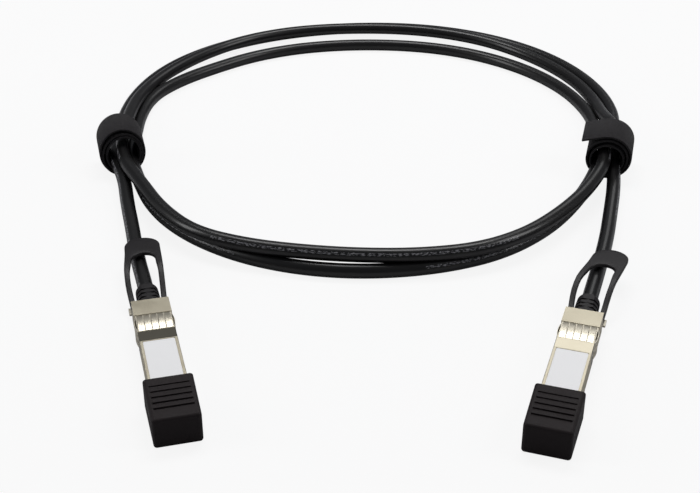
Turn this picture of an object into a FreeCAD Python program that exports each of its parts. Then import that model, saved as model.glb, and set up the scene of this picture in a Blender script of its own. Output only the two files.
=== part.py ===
"""Direct attach copper cable: two pluggable modules joined by a twinax cable, wound in a loop and
tied twice. Millimetres, +Z up, standing on z = 0. The origin is under the middle of the two plugs.

Each plug is drawn once in its own frame and placed twice. In that frame x = 0 is the rear face of
the housing, +X points to the nose, and z = 0 is the underside of the housing."""

import FreeCAD, Part
import math
import os
import Sketcher

SIZES = [
    # cable and its soft parts
    ("cable_diameter", 6.0),
    ("pair_diameter", 2.2),
    ("jacket_bore_clearance", 0.1),
    ("jacket_end", 8.0),
    ("loop_inner_x", 0.6),
    ("loop_inner_y", 165.8),
    ("loop_inner_half_width", 104.5),
    ("loop_inner_half_depth", 111.0),
    ("loop_outer_x", 1.1),
    ("loop_outer_y", 175.3),
    ("loop_outer_half_width", 120.0),
    ("loop_outer_half_depth", 131.5),
    ("loop_height", 12.4),
    ("loop_rounding", 2.8),
    ("tie_diameter", 21.0),
    ("tie_thickness", 2.0),
    ("tie_width", 18.0),
    ("tie_clearance", 0.35),
    ("left_tie_x", -107.6),
    ("left_tie_y", 141.2),
    ("left_tie_turn", 14.0),
    ("right_tie_x", 109.4),
    ("right_tie_y", 141.2),
    ("right_tie_turn", -14.0),
    # where the plugs lie
    ("left_plug_x", -80.57),
    ("left_plug_y", 17.3),
    ("left_plug_turn", -75.6),
    ("right_plug_x", 78.33),
    ("right_plug_y", 10.3),
    ("right_plug_turn", -107.9),
    # die-cast housing
    ("housing_length", 71.8),
    ("housing_height", 8.5),
    ("rear_block_length", 9.6),
    ("rear_block_width", 13.8),
    ("collar_length", 10.2),
    ("collar_seat_depth", 0.4),
    ("body_width", 13.4),
    ("shell_wall", 1.0),
    ("bore_floor_wall", 0.25),
    (
        "floor_thickness",
        "=channel_depth + bore_floor_wall + cable_diameter / 2 + jacket_bore_clearance"
        " - pair_diameter / 2 - board_thickness",
    ),
    ("lid_roof", 1.5),
    ("bore_block_length", 13.0),
    ("edge_chamfer", 0.35),
    ("nose_cutback", 3.0),
    ("label_start", 26.6),
    ("label_length", 24.2),
    ("label_width", 11.2),
    ("label_thickness", 0.15),
    ("label_recess_depth", 0.3),
    ("label_margin", 0.1),
    # circuit board
    ("board_thickness", 1.0),
    ("board_start", 18.0),
    ("board_width", 11.0),
    ("board_nose_width", 9.2),
    ("board_nose_length", 12.0),
    ("board_setback", 1.2),
    ("pad_pitch", 0.8),
    ("pad_width", 0.55),
    ("pad_length", 3.0),
    ("pad_thickness", 0.05),
    ("pair_lap", 3.0),
    ("ferrule_length", 4.6),
    ("ferrule_outer", 5.9),
    ("chip_length", 4.9),
    ("chip_width", 3.9),
    ("chip_height", 1.5),
    ("chip_start", 28.0),
    # closing screw
    ("screw_x", 44.0),
    ("screw_shank", 1.8),
    ("screw_head", 3.4),
    ("screw_head_depth", 0.9),
    ("screw_length", 6.0),
    ("screw_boss", 4.0),
    ("screw_clearance", 0.3),
    # shielding collar
    ("collar_gap", 0.1),
    ("collar_sheet", 0.2),
    ("collar_foot", 0.6),
    ("finger_width", 2.1),
    ("finger_pitch", 2.5),
    ("finger_rise", 0.75),
    # latch
    ("channel_depth", 1.0),
    ("channel_half_width", 5.6),
    ("channel_end", 31.8),
    ("slider_thickness", 0.8),
    ("slider_side_gap", 0.2),
    ("slider_top_gap", 0.05),
    ("slider_arm_inner", 4.2),
    ("slider_web_start", 3.0),
    ("slider_ear_half_width", 7.7),
    ("slider_ear_length", 4.0),
    ("slider_ear_gap", 3.0),
    ("prong_inner", 1.7),
    ("prong_outer", 4.0),
    ("latch_shoulder", 45.0),
    ("boss_length", 2.6),
    ("boss_half_width", 1.3),
    ("boss_height", 1.0),
    ("wedge_height", 0.7),
    ("wedge_length", 2.4),
    ("latch_travel", 2.6),
    ("window_start", 5.6),
    ("window_half_width", 1.5),
    ("peg_length", 1.0),
    ("spring_pressed_length", 4.2),
    ("spring_strip", 0.2),
    # pull tab
    ("tab_length", 45.0),
    ("tab_width", 14.8),
    ("tab_foot_width", 13.4),
    ("tab_head_width", 13.8),
    ("tab_leg", 2.1),
    ("tab_thickness", 1.6),
    ("tab_head_length", 12.8),
    ("tab_head_side", 8.0),
    ("tab_pad_length", 4.6),
    ("tab_pad_width", 6.4),
    ("tab_pad_height", 0.3),
    ("tab_edge_round", 0.45),
    ("tab_foot_length", 4.4),
    ("tab_foot_gap", 0.6),
    ("tab_rise_length", 18.0),
    ("tab_cable_gap", 0.35),
    # strain relief
    ("boot_length", 11.6),
    ("boot_front_wall", 1.5),
    ("boot_rear_wall", 1.15),
    ("boot_flat_wall", 0.7),
    ("boot_rear_round", 0.9),
    ("boot_groove_width", 1.1),
    ("boot_groove_depth", 0.7),
    ("boot_groove_pitch", 2.6),
    ("boot_first_groove", 1.9),
    # dust cap
    ("cap_length", 22.1),
    ("cap_width", 17.0),
    ("cap_height", 12.1),
    ("cap_taper", 0.35),
    ("cap_front_wall", 1.4),
    ("cap_clearance", 0.25),
    ("cap_nose_gap", 0.2),
    ("cap_corner", 1.2),
    ("cap_rib_width", 0.9),
    ("cap_rib_height", 0.3),
    ("cap_rib_pitch", 3.0),
    ("cap_first_rib", 3.5),
]

# Expressions for places that more than one piece needs.
AXIS_HEIGHT = "(dims.floor_thickness + dims.board_thickness + dims.pair_diameter / 2)"
BOOT_FRONT = "(dims.cable_diameter / 2 + dims.jacket_bore_clearance + dims.boot_front_wall)"
BOOT_REAR = "(dims.cable_diameter / 2 + dims.jacket_bore_clearance + dims.boot_rear_wall)"
LIFT = "((dims.cap_height - dims.housing_height) / 2)"
SEAT_END = "(dims.rear_block_length + dims.collar_length)"
BORE_RADIUS = "(dims.cable_diameter / 2 + dims.jacket_bore_clearance)"
SHOULDER = "(dims.housing_length - dims.latch_shoulder)"
SEAT_HALF_WIDTH = "(dims.body_width / 2 - dims.collar_seat_depth)"
SEAT_TOP = "(dims.housing_height - dims.collar_seat_depth)"
CAP_BACK = "(dims.housing_length + dims.cap_nose_gap + dims.cap_front_wall - dims.cap_length)"

FINGERS_ACROSS = 5
FINGERS_UP = 3
PADS_A_SIDE = 10
CAP_RIBS = 5
BOOT_GROOVES = 3
SPRING_LEGS = 5

# The leads, from the first point past each plug to the loop. They lie free, so their points are
# chosen, not worked out. The first two points of each lead come from its plug.
LEAD_POINTS = {
    "left": [(-90.9, 55.0, 5.3), (-96.1, 78.3, 4.6), (-101.5, 100.3, 4.6), (-105.7, 120.8, 5.3)],
    "right": [(90.1, 47.3, 5.4), (97.0, 70.3, 4.8), (102.4, 92.3, 4.7), (107.3, 112.8, 5.3)],
}
LEAD_STRAIGHT = 15.0
RUN_SHARE = 0.45

doc = FreeCAD.newDocument("direct_attach_cable")
dims = doc.addObject("Spreadsheet::Sheet", "dims")
for row, (alias, value) in enumerate(SIZES, start=1):
    dims.set(f"A{row}", alias)
    dims.setAlias(f"B{row}", alias)
for row, (alias, value) in enumerate(SIZES, start=1):
    dims.set(f"B{row}", str(value))
doc.recompute()


# ---------------------------------------------------------------- drawing helpers


def value_of(expression):
    """The number that an expression on the sheet gives now."""
    result = dims.evalExpression(expression)
    return float(getattr(result, "Value", result))


def new_body(name):
    body = doc.addObject("PartDesign::Body", name)
    body.Label = name
    return body


def new_sketch(body, name, plane="XY", offset="0", twist=0):
    """A sketch on one of the body's own origin planes, moved along the plane's normal."""
    sketch = body.newObject("Sketcher::SketchObject", f"{body.Name}_{name}")
    base = [o for o in body.Origin.OriginFeatures if o.Role == f"{plane}_Plane"][0]
    sketch.AttachmentSupport = [(base, "")]
    sketch.MapMode = "FlatFace"
    sketch.AttachmentOffset = FreeCAD.Placement(
        FreeCAD.Vector(0, 0, 0), FreeCAD.Rotation(FreeCAD.Vector(0, 0, 1), twist)
    )
    sketch.setExpression("AttachmentOffset.Base.z", offset)
    return sketch


def tie_point(sketch, edge, end, x, y):
    """Holds one point of an edge at two expressions, measured from the sketch's origin."""
    for kind, expression in (("DistanceX", x), ("DistanceY", y)):
        number = sketch.addConstraint(
            Sketcher.Constraint(kind, -1, 1, edge, end, value_of(expression))
        )
        sketch.setExpression(f"Constraints[{number}]", expression)


def polygon(sketch, points):
    """A closed outline; each point is a pair of expressions."""
    spots = [FreeCAD.Vector(value_of(x), value_of(y), 0) for x, y in points]
    first = sketch.GeometryCount
    count = len(points)
    for i in range(count):
        sketch.addGeometry(Part.LineSegment(spots[i], spots[(i + 1) % count]), False)
    for i in range(count):
        sketch.addConstraint(
            Sketcher.Constraint("Coincident", first + i, 2, first + (i + 1) % count, 1)
        )
    for i, (x, y) in enumerate(points):
        tie_point(sketch, first + i, 1, x, y)


def rectangle(sketch, x0, x1, y0, y1):
    polygon(sketch, [(x0, y0), (x1, y0), (x1, y1), (x0, y1)])


def circle(sketch, x, y, radius):
    centre = FreeCAD.Vector(value_of(x), value_of(y), 0)
    edge = sketch.addGeometry(
        Part.Circle(centre, FreeCAD.Vector(0, 0, 1), value_of(radius)), False
    )
    tie_point(sketch, edge, 3, x, y)
    number = sketch.addConstraint(Sketcher.Constraint("Radius", edge, value_of(radius)))
    sketch.setExpression(f"Constraints[{number}]", radius)


def set_sizes(feature, sizes):
    for name, expression in sizes.items():
        feature.setExpression(name, expression)


def pad(body, sketch, length, middle=False, back=False):
    feature = body.newObject("PartDesign::Pad", f"{sketch.Name}_pad")
    feature.Profile = sketch
    feature.Midplane = middle
    feature.Reversed = back
    feature.setExpression("Length", length)
    doc.recompute()
    return feature


def pocket(body, sketch, length=None, middle=False, forward=False):
    """Cuts against the sketch's normal, or along it with forward; right through without length."""
    before = body.Shape.Volume
    feature = body.newObject("PartDesign::Pocket", f"{sketch.Name}_pocket")
    feature.Profile = sketch
    feature.Midplane = middle
    feature.Reversed = forward
    if length is None:
        feature.Type = 1
    else:
        feature.setExpression("Length", length)
    doc.recompute()
    if not body.Shape.Volume < before:
        raise RuntimeError(f"{feature.Name} removes nothing")
    return feature


def repeat(body, feature, axis_role, pitch, count):
    """A row of copies of a feature along one of the body's axes."""
    pattern = body.newObject("PartDesign::LinearPattern", f"{feature.Name}_row")
    pattern.Originals = [feature]
    axis = [o for o in body.Origin.OriginFeatures if o.Role == f"{axis_role}_Axis"][0]
    pattern.Direction = (axis, [""])
    pattern.Occurrences = count
    pattern.setExpression("Length", f"{pitch} * {count - 1}")
    body.Tip = pattern
    doc.recompute()
    return pattern


def edges_where(body, test):
    """Names of the edges of a body's tip whose ends pass a test, in the body's own frame."""
    shape = body.Tip.Shape
    names = []
    for number, edge in enumerate(shape.Edges, start=1):
        ends = [v.Point for v in edge.Vertexes]
        if ends and test(ends[0], ends[-1]):
            names.append(f"Edge{number}")
    return names


def blend_edges(body, kind, size_name, size, test):
    """A Fillet or a Chamfer on the edges that pass a test."""
    names = edges_where(body, test)
    if not names:
        raise RuntimeError(f"{body.Name}: no edge to blend")
    base = body.Tip
    feature = body.newObject(f"PartDesign::{kind}", f"{body.Name}_{kind.lower()}_{len(body.Group)}")
    feature.Base = (base, names)
    feature.setExpression(size_name, size)
    body.Tip = feature
    doc.recompute()
    return feature


def near(a, b, slack=0.01):
    return abs(a - b) < slack


def place_on_plug(body, side):
    """Puts a piece drawn in the plug's frame where its plug lies."""
    body.Placement = FreeCAD.Placement(
        FreeCAD.Vector(0, 0, 0), FreeCAD.Rotation(FreeCAD.Vector(0, 0, 1), 1)
    )
    set_sizes(
        body,
        {
            "Placement.Base.x": f"dims.{side}_plug_x",
            "Placement.Base.y": f"dims.{side}_plug_y",
            "Placement.Base.z": LIFT,
            "Placement.Rotation.Angle": f"dims.{side}_plug_turn",
        },
    )
    return body


# ---------------------------------------------------------------- housing


def stepped_plan(sketch, end="dims.housing_length"):
    """The housing from above: wide rear block, narrow collar seat, then the long body."""
    right = [
        ("0", "-dims.rear_block_width / 2"),
        ("dims.rear_block_length", "-dims.rear_block_width / 2"),
        ("dims.rear_block_length", f"-{SEAT_HALF_WIDTH}"),
        (SEAT_END, f"-{SEAT_HALF_WIDTH}"),
        (SEAT_END, "-dims.body_width / 2"),
        (end, "-dims.body_width / 2"),
    ]
    left = [(x, y.lstrip("-")) for x, y in reversed(right)]
    polygon(sketch, right + left)


def cut_jacket_bore(body):
    sketch = new_sketch(body, "bore", "YZ", "-1")
    circle(sketch, "0", AXIS_HEIGHT, BORE_RADIUS)
    pocket(body, sketch, "dims.bore_block_length + 2", forward=True)


def lower_shell(side):
    """Cast tray: floor, side walls, latch channel with its boss and spring peg underneath."""
    body = new_body(f"{side}_lower_shell")
    plan = new_sketch(body, "plan")
    stepped_plan(plan)
    pad(body, plan, AXIS_HEIGHT)
    blend_edges(
        body,
        "Chamfer",
        "Size",
        "dims.edge_chamfer",
        lambda a, b: near(a.z, 0)
        and near(b.z, 0)
        and near(abs(a.y), value_of("dims.body_width / 2"))
        and near(a.y, b.y),
    )
    inside = new_sketch(body, "inside", "XY", "dims.floor_thickness")
    rectangle(
        inside,
        "dims.bore_block_length",
        "dims.housing_length + 1",
        "-(dims.body_width / 2 - dims.shell_wall)",
        "dims.body_width / 2 - dims.shell_wall",
    )
    pocket(body, inside, "dims.housing_height", forward=True)
    cut_jacket_bore(body)
    channel = new_sketch(body, "channel", "XY", "dims.channel_depth")
    rectangle(
        channel, "-1", "dims.channel_end", "-dims.channel_half_width", "dims.channel_half_width"
    )
    pocket(body, channel, "dims.channel_depth + 1")
    peg = new_sketch(body, "peg")
    peg_gap = "dims.slider_side_gap"
    rectangle(
        peg,
        f"dims.window_start + {peg_gap}",
        f"dims.window_start + {peg_gap} + dims.peg_length",
        f"-(dims.window_half_width - {peg_gap})",
        f"dims.window_half_width - {peg_gap}",
    )
    pad(body, peg, "dims.channel_depth + 0.3")
    boss = new_sketch(body, "boss", "XZ")
    polygon(
        boss,
        [
            (SHOULDER, "dims.channel_depth + 0.3"),
            (SHOULDER, "-dims.boss_height"),
            (f"{SHOULDER} + 0.5", "-dims.boss_height"),
            (f"{SHOULDER} + dims.boss_length", "0"),
            (f"{SHOULDER} + dims.boss_length", "dims.channel_depth + 0.3"),
        ],
    )
    pad(body, boss, "dims.boss_half_width * 2", middle=True)
    hole = new_sketch(body, "screw_hole", "XY", "-1")
    circle(hole, "dims.screw_x", "0", "dims.screw_shank / 2 + dims.screw_clearance / 2")
    pocket(body, hole, "dims.floor_thickness + 2", forward=True)
    sink = new_sketch(body, "screw_sink")
    circle(sink, "dims.screw_x", "0", "dims.screw_head / 2 + dims.screw_clearance / 2")
    pocket(body, sink, "dims.screw_head_depth + 0.1", forward=True)
    return place_on_plug(body, side)


def upper_shell(side):
    """Cast lid: collar seat, rimmed label recess, open nose and the boss for the screw."""
    body = new_body(f"{side}_upper_shell")
    plan = new_sketch(body, "plan", "XY", AXIS_HEIGHT)
    stepped_plan(plan)
    pad(body, plan, f"dims.housing_height - {AXIS_HEIGHT}")
    seat = new_sketch(body, "collar_seat", "XY", SEAT_TOP)
    rectangle(
        seat, "dims.rear_block_length", SEAT_END, "-dims.body_width", "dims.body_width"
    )
    pocket(body, seat, "dims.collar_seat_depth + 1", forward=True)
    inside = new_sketch(body, "inside", "XY", "dims.housing_height - dims.lid_roof")
    rectangle(
        inside,
        "dims.bore_block_length",
        "dims.housing_length + 1",
        "-(dims.body_width / 2 - dims.shell_wall)",
        "dims.body_width / 2 - dims.shell_wall",
    )
    pocket(body, inside, "dims.housing_height")
    cut_jacket_bore(body)
    mouth = new_sketch(body, "mouth", "XY", "dims.housing_height + 1")
    rectangle(
        mouth,
        "dims.housing_length - dims.nose_cutback",
        "dims.housing_length + 1",
        "-(dims.body_width / 2 - dims.shell_wall)",
        "dims.body_width / 2 - dims.shell_wall",
    )
    pocket(body, mouth, "dims.housing_height")
    recess = new_sketch(
        body, "label_recess", "XY", "dims.housing_height - dims.label_recess_depth"
    )
    rectangle(
        recess,
        "dims.label_start - dims.label_margin",
        "dims.label_start + dims.label_length + dims.label_margin",
        "-(dims.label_width / 2 + dims.label_margin)",
        "dims.label_width / 2 + dims.label_margin",
    )
    pocket(body, recess, "1", forward=True)
    boss = new_sketch(body, "screw_boss", "XY", "dims.housing_height - dims.lid_roof")
    circle(boss, "dims.screw_x", "0", "dims.screw_boss / 2")
    pad(
        body,
        boss,
        "dims.housing_height - dims.lid_roof - dims.floor_thickness - dims.board_thickness",
        back=True,
    )
    pilot = new_sketch(body, "pilot", "XY", "dims.floor_thickness + dims.board_thickness")
    circle(pilot, "dims.screw_x", "0", "dims.screw_shank / 2")
    pocket(
        body,
        pilot,
        "dims.screw_length - dims.floor_thickness - dims.board_thickness + 0.2",
        forward=True,
    )
    blend_edges(
        body,
        "Chamfer",
        "Size",
        "dims.edge_chamfer / 2",
        lambda a, b: near(a.z, value_of("dims.housing_height"))
        and near(b.z, a.z)
        and near(abs(a.y), value_of("dims.body_width / 2"))
        and near(a.y, b.y),
    )
    return place_on_plug(body, side)


def shell_screw(side):
    """Countersunk screw that draws the lid onto the tray through the circuit board."""
    body = new_body(f"{side}_shell_screw")
    half = new_sketch(body, "section", "XZ")
    head = "dims.screw_x + dims.screw_head / 2"
    shank = "dims.screw_x + dims.screw_shank / 2"
    polygon(
        half,
        [
            ("dims.screw_x", "0.1"),
            (head, "0.1"),
            (head, "0.3"),
            (shank, "dims.screw_head_depth"),
            (shank, "dims.screw_length - 0.4"),
            ("dims.screw_x", "dims.screw_length"),
        ],
    )
    axis_line = half.addGeometry(
        Part.LineSegment(
            FreeCAD.Vector(value_of("dims.screw_x"), 0, 0),
            FreeCAD.Vector(value_of("dims.screw_x"), 1, 0),
        ),
        True,
    )
    tie_point(half, axis_line, 1, "dims.screw_x", "0")
    tie_point(half, axis_line, 2, "dims.screw_x", "1")
    turned = body.newObject("PartDesign::Revolution", f"{body.Name}_turned")
    turned.Profile = half
    turned.ReferenceAxis = (half, ["Axis0"])
    turned.Angle = 360
    doc.recompute()
    slot = new_sketch(body, "slot")
    rectangle(
        slot,
        "dims.screw_x - dims.screw_head",
        "dims.screw_x + dims.screw_head",
        "-0.25",
        "0.25",
    )
    pocket(body, slot, "0.4", forward=True)
    return place_on_plug(body, side)


def label(side):
    body = new_body(f"{side}_label")
    face = new_sketch(body, "face", "XY", "dims.housing_height - dims.label_recess_depth")
    rectangle(
        face,
        "dims.label_start",
        "dims.label_start + dims.label_length",
        "-dims.label_width / 2",
        "dims.label_width / 2",
    )
    pad(body, face, "dims.label_thickness")
    blend_edges(
        body,
        "Fillet",
        "Radius",
        "0.5",
        lambda a, b: near(a.x, b.x) and near(a.y, b.y),
    )
    return place_on_plug(body, side)


# ---------------------------------------------------------------- shielding collar


def arched_finger(sketch, start, end, foot, rise, sheet):
    """A bowed leaf from start to end, standing on the level foot: two arcs about one centre."""
    span = f"({end} - {start})"
    radius = f"(({span} * {span} / 4 + {rise} * {rise}) / (2 * {rise}))"
    middle = f"({start} + {span} / 2)"
    centre_v = f"({foot} + {rise} - {radius})"
    mid = value_of(middle)
    low = value_of(centre_v)
    arcs = []
    for inset in ("0", sheet):
        r = value_of(f"{radius} - {inset}")
        half = math.asin(value_of(span) / 2 / r)
        arc = Part.ArcOfCircle(
            Part.Circle(FreeCAD.Vector(mid, low, 0), FreeCAD.Vector(0, 0, 1), r),
            math.pi / 2 - half,
            math.pi / 2 + half,
        )
        edge = sketch.addGeometry(arc, False)
        tie_point(sketch, edge, 3, middle, centre_v)
        number = sketch.addConstraint(Sketcher.Constraint("Radius", edge, r))
        sketch.setExpression(f"Constraints[{number}]", f"{radius} - {inset}")
        for end_point, place in ((1, end), (2, start)):
            number = sketch.addConstraint(
                Sketcher.Constraint("DistanceX", -1, 1, edge, end_point, value_of(place))
            )
            sketch.setExpression(f"Constraints[{number}]", place)
        arcs.append(edge)
    for end_point in (1, 2):
        a = sketch.getPoint(arcs[0], end_point)
        b = sketch.getPoint(arcs[1], end_point)
        line = sketch.addGeometry(Part.LineSegment(a, b), False)
        sketch.addConstraint(Sketcher.Constraint("Coincident", line, 1, arcs[0], end_point))
        sketch.addConstraint(Sketcher.Constraint("Coincident", line, 2, arcs[1], end_point))


def emi_collar(side):
    """Sprung sheet collar folded over the lid and both sides, with rows of bowed fingers."""
    body = new_body(f"{side}_emi_collar")
    start = "(dims.rear_block_length + dims.collar_gap)"
    end = f"({SEAT_END} - dims.collar_gap)"
    inner = f"({SEAT_HALF_WIDTH} + 0.02)"
    outer = f"({inner} + dims.collar_sheet)"
    roof = f"({SEAT_TOP} + 0.02)"
    top = f"({roof} + dims.collar_sheet)"
    foot = "dims.collar_foot"
    wrap = new_sketch(body, "wrap", "YZ", start)
    polygon(
        wrap,
        [
            (f"-{outer}", foot),
            (f"-{inner}", foot),
            (f"-{inner}", roof),
            (inner, roof),
            (inner, foot),
            (outer, foot),
            (outer, top),
            (f"-{outer}", top),
        ],
    )
    pad(body, wrap, f"{end} - {start}")
    rows = [
        ("top", "XZ", "Y", top, "0", FINGERS_ACROSS),
        ("side", "XY", "Z", outer, f"(({top} + {foot}) / 2)", FINGERS_UP),
    ]
    for name, plane, axis, level, middle, count in rows:
        first = f"{middle} - dims.finger_pitch * {(count - 1) / 2}"
        normal_sign = "-1 *" if plane == "XZ" else ""
        sketch = new_sketch(body, f"{name}_finger", plane, f"{normal_sign} ({first})")
        arched_finger(
            sketch, start, end, level, "dims.finger_rise", "dims.collar_sheet"
        )
        leaf = pad(body, sketch, "dims.finger_width", middle=True)
        if name == "top":
            repeat(body, leaf, axis, "dims.finger_pitch", count)
            continue
        both_sides = body.newObject("PartDesign::MultiTransform", f"{body.Name}_side_rows")
        up = body.newObject("PartDesign::LinearPattern", f"{body.Name}_up")
        up.Direction = ([o for o in body.Origin.OriginFeatures if o.Role == "Z_Axis"][0], [""])
        up.Occurrences = count
        up.setExpression("Length", f"dims.finger_pitch * {count - 1}")
        across = body.newObject("PartDesign::Mirrored", f"{body.Name}_across")
        across.MirrorPlane = ([o for o in body.Origin.OriginFeatures if o.Role == "XZ_Plane"][0], [""])
        both_sides.Originals = [leaf]
        both_sides.Transformations = [up, across]
        body.Tip = both_sides
        doc.recompute()
    return place_on_plug(body, side)


# ---------------------------------------------------------------- inside the housing


def circuit_board(side):
    """Board with a narrow tongue and gold contact pads on both faces of it."""
    body = new_body(f"{side}_circuit_board")
    end = "(dims.housing_length - dims.board_setback)"
    neck = f"({end} - dims.board_nose_length)"
    plan = new_sketch(body, "plan", "XY", "dims.floor_thickness")
    polygon(
        plan,
        [
            ("dims.board_start", "-dims.board_width / 2"),
            (neck, "-dims.board_width / 2"),
            (neck, "-dims.board_nose_width / 2"),
            (end, "-dims.board_nose_width / 2"),
            (end, "dims.board_nose_width / 2"),
            (neck, "dims.board_nose_width / 2"),
            (neck, "dims.board_width / 2"),
            ("dims.board_start", "dims.board_width / 2"),
        ],
    )
    pad(body, plan, "dims.board_thickness")
    hole = new_sketch(body, "screw_hole", "XY", "dims.floor_thickness - 1")
    circle(hole, "dims.screw_x", "0", "dims.screw_shank / 2 + dims.screw_clearance / 2")
    pocket(body, hole, "dims.board_thickness + 2", forward=True)
    first = f"(-dims.pad_pitch * {(PADS_A_SIDE - 1) / 2})"
    contact = new_sketch(body, "contact", "XY", "dims.floor_thickness + dims.board_thickness")
    rectangle(
        contact,
        f"{end} - 0.4 - dims.pad_length",
        f"{end} - 0.4",
        f"{first} - dims.pad_width / 2",
        f"{first} + dims.pad_width / 2",
    )
    strip = pad(body, contact, "dims.pad_thickness")
    repeat(body, strip, "Y", "dims.pad_pitch", PADS_A_SIDE)
    return place_on_plug(body, side)


def memory_chip(side):
    """Small chip that holds the cable's data, with its legs drawn as one skirt."""
    body = new_body(f"{side}_memory_chip")
    level = "(dims.floor_thickness + dims.board_thickness)"
    case = new_sketch(body, "case", "XY", f"{level} + 0.15")
    rectangle(
        case,
        "dims.chip_start",
        "dims.chip_start + dims.chip_length",
        "-dims.chip_width / 2",
        "dims.chip_width / 2",
    )
    pad(body, case, "dims.chip_height - 0.15")
    leg = new_sketch(body, "leg", "XY", level)
    rectangle(
        leg,
        "dims.chip_start + 0.3",
        "dims.chip_start + 0.7",
        "-dims.chip_width / 2 - 0.8",
        "dims.chip_width / 2 + 0.8",
    )
    pair = pad(body, leg, "0.25")
    repeat(body, pair, "X", "1.27", 4)
    return place_on_plug(body, side)


def crimp_ferrule(side):
    """Ring crimped over the braid, right in front of the end of the jacket."""
    body = new_body(f"{side}_crimp_ferrule")
    ring = new_sketch(body, "ring", "YZ", "dims.jacket_end")
    circle(ring, "0", AXIS_HEIGHT, "dims.ferrule_outer / 2")
    circle(ring, "0", AXIS_HEIGHT, "dims.pair_diameter + 0.15")
    pad(body, ring, "dims.ferrule_length")
    return place_on_plug(body, side)


def twinax_pairs(side):
    """The two shielded pairs that run on through the ferrule and lie on the board."""
    body = new_body(f"{side}_twinax_pairs")
    ends = new_sketch(body, "ends", "YZ", "dims.jacket_end")
    for sign in ("-", ""):
        circle(
            ends, f"{sign}(dims.pair_diameter / 2 + 0.02)", AXIS_HEIGHT, "dims.pair_diameter / 2"
        )
    pad(body, ends, "dims.board_start + dims.pair_lap - dims.jacket_end")
    return place_on_plug(body, side)


# ---------------------------------------------------------------- latch and pull tab


def latch_slider(side):
    """Stamped plate in the channel: rear ears for the tab, a window for the spring, front wedges."""
    body = new_body(f"{side}_latch_slider")
    level = "(dims.channel_depth - dims.slider_top_gap - dims.slider_thickness)"
    half_width = "(dims.channel_half_width - dims.slider_side_gap)"
    ear_back = "(-dims.slider_ear_gap - dims.slider_ear_length)"
    tip = f"({SHOULDER} + dims.boss_length + 0.6)"
    root = f"({SHOULDER} - dims.latch_travel - 1.6)"
    right = [
        ("dims.slider_web_start", "-dims.slider_arm_inner"),
        (ear_back, "-dims.slider_arm_inner"),
        (ear_back, "-dims.slider_ear_half_width"),
        ("-dims.slider_ear_gap", "-dims.slider_ear_half_width"),
        ("-dims.slider_ear_gap", f"-{half_width}"),
        (root, f"-{half_width}"),
        (root, "-dims.prong_outer"),
        (tip, "-dims.prong_outer"),
        (tip, "-dims.prong_inner"),
        (root, "-dims.prong_inner"),
    ]
    left = [(x, y.lstrip("-")) for x, y in reversed(right)]
    plan = new_sketch(body, "plan", "XY", level)
    polygon(plan, right + left)
    pad(body, plan, "dims.slider_thickness")
    window = new_sketch(body, "window", "XY", "-1")
    rectangle(
        window,
        "dims.window_start",
        "dims.window_start + dims.slider_side_gap * 2 + dims.peg_length"
        " + dims.spring_pressed_length + dims.latch_travel",
        "-dims.window_half_width",
        "dims.window_half_width",
    )
    pocket(body, window, "dims.channel_depth + 2", forward=True)
    wedge = new_sketch(body, "wedge", "XZ", "-(dims.prong_inner + dims.prong_outer) / 2")
    polygon(
        wedge,
        [
            (f"{tip} - dims.wedge_length", level),
            (f"{tip} - 0.7", f"{level} - dims.wedge_height"),
            (tip, f"{level} - dims.wedge_height"),
            (tip, level),
        ],
    )
    ramp = pad(body, wedge, "dims.prong_outer - dims.prong_inner", middle=True)
    both = body.newObject("PartDesign::Mirrored", f"{body.Name}_both_wedges")
    both.Originals = [ramp]
    middle_plane = [o for o in body.Origin.OriginFeatures if o.Role == "XZ_Plane"][0]
    both.MirrorPlane = (middle_plane, [""])
    body.Tip = both
    doc.recompute()
    return place_on_plug(body, side)


def latch_spring(side):
    """Folded strip spring between the tray's peg and the front of the slider's window."""
    body = new_body(f"{side}_latch_spring")
    start = "(dims.window_start + dims.slider_side_gap + dims.peg_length + 0.1)"
    half = "(dims.window_half_width - 0.35)"
    thin = "dims.spring_strip"
    pitch = f"((dims.spring_pressed_length - {thin}) / {SPRING_LEGS - 1})"
    level = "dims.channel_depth - dims.slider_thickness"
    leg = new_sketch(body, "leg", "XY", level)
    rectangle(leg, start, f"{start} + {thin}", f"-{half}", half)
    repeat(body, pad(body, leg, "dims.slider_thickness - 0.1"), "X", pitch, SPRING_LEGS)
    folds = (
        ("left_fold", "0", f"{half} - {thin}", half),
        ("right_fold", "1", f"-{half}", f"-({half} - {thin})"),
    )
    for name, first_leg, near_y, far_y in folds:
        fold = new_sketch(body, name, "XY", level)
        here = f"{start} + {pitch} * {first_leg}"
        rectangle(fold, here, f"{here} + {pitch} + {thin}", near_y, far_y)
        strip = pad(body, fold, "dims.slider_thickness - 0.1")
        repeat(body, strip, "X", f"{pitch} * 2", (SPRING_LEGS - 1) // 2)
    return place_on_plug(body, side)


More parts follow.
